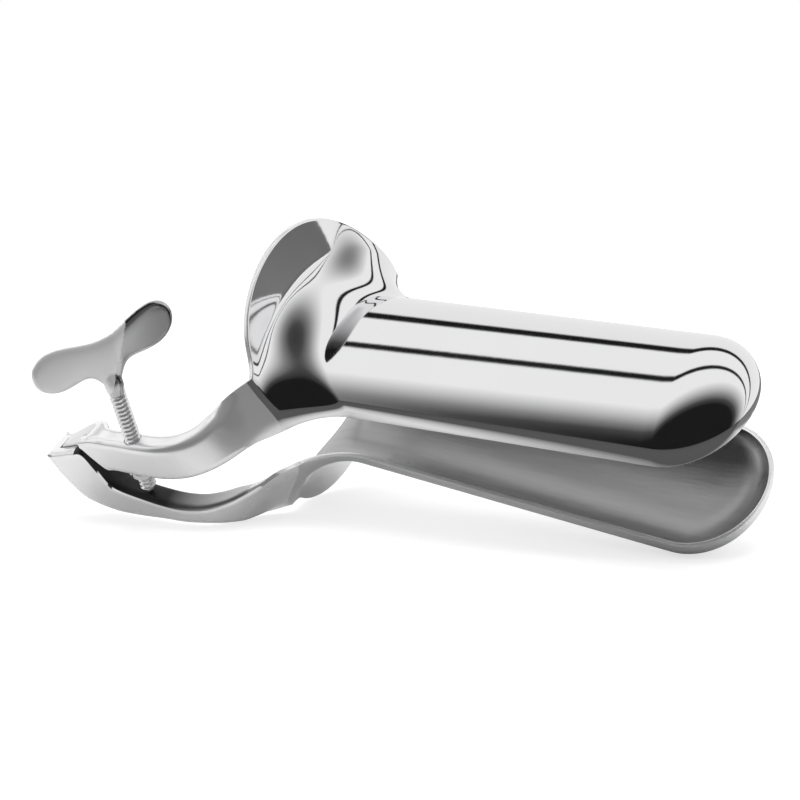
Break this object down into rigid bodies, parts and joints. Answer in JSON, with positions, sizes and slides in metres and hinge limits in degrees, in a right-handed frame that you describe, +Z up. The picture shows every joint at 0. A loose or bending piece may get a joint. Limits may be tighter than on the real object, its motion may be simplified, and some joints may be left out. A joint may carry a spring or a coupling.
{
  "type": "bivalve speculum",
  "caption": "Bivalve speculum with two trough blades on a side hinge, flared mouth flanges and a winged spreading screw.",
  "frame": {"origin": "centre of the bounding box at the surface the instrument lies on", "axes": "+X along the blades toward their tips, +Z up off the surface, +Y to the side away from the screw arms"},
  "size_m": [0.1414, 0.0928, 0.061],
  "materials": {
    "polished_steel": "mirror polished outside, satin inside"
  },
  "bodies": {
    "lower_valve": {"lower_blade": "polished_steel", "lower_flange": "polished_steel", "lower_arm": "polished_steel", "hinge_pin": "polished_steel"},
    "upper_valve": {"upper_blade": "polished_steel", "upper_flange": "polished_steel", "upper_arm": "polished_steel"},
    "screw_spindle": {"spread_screw": "polished_steel"},
    "screw_wings": {"thumb_wings": "polished_steel"}
  },
  "joints": [
    {"name": "blade_open", "type": "hinge", "parent": "lower_valve", "child": "upper_valve", "pos_m": [-0.06378, -0.01629, 0.01368], "axis": [-0.0876, -0.8401, -0.5354], "range_deg": [-9, 20]},
    {"name": "screw_feed", "type": "slide", "parent": "upper_valve", "child": "screw_spindle", "axis": [-0.1098, 0.5423, -0.833], "range_m": [-0.00267, 0.00581]},
    {"name": "screw_turn", "type": "hinge", "parent": "screw_spindle", "child": "screw_wings", "pos_m": [-0.0455, -0.02848, 0.02759], "axis": [-0.1098, 0.5423, -0.833], "range_deg": [-883, 1959]}
  ],
  "couplings": [
    {"joint": "screw_feed", "follows": "blade_open", "m_per_rad": 0.01635},
    {"joint": "screw_turn", "follows": "blade_open", "ratio": 97.838}
  ]
}
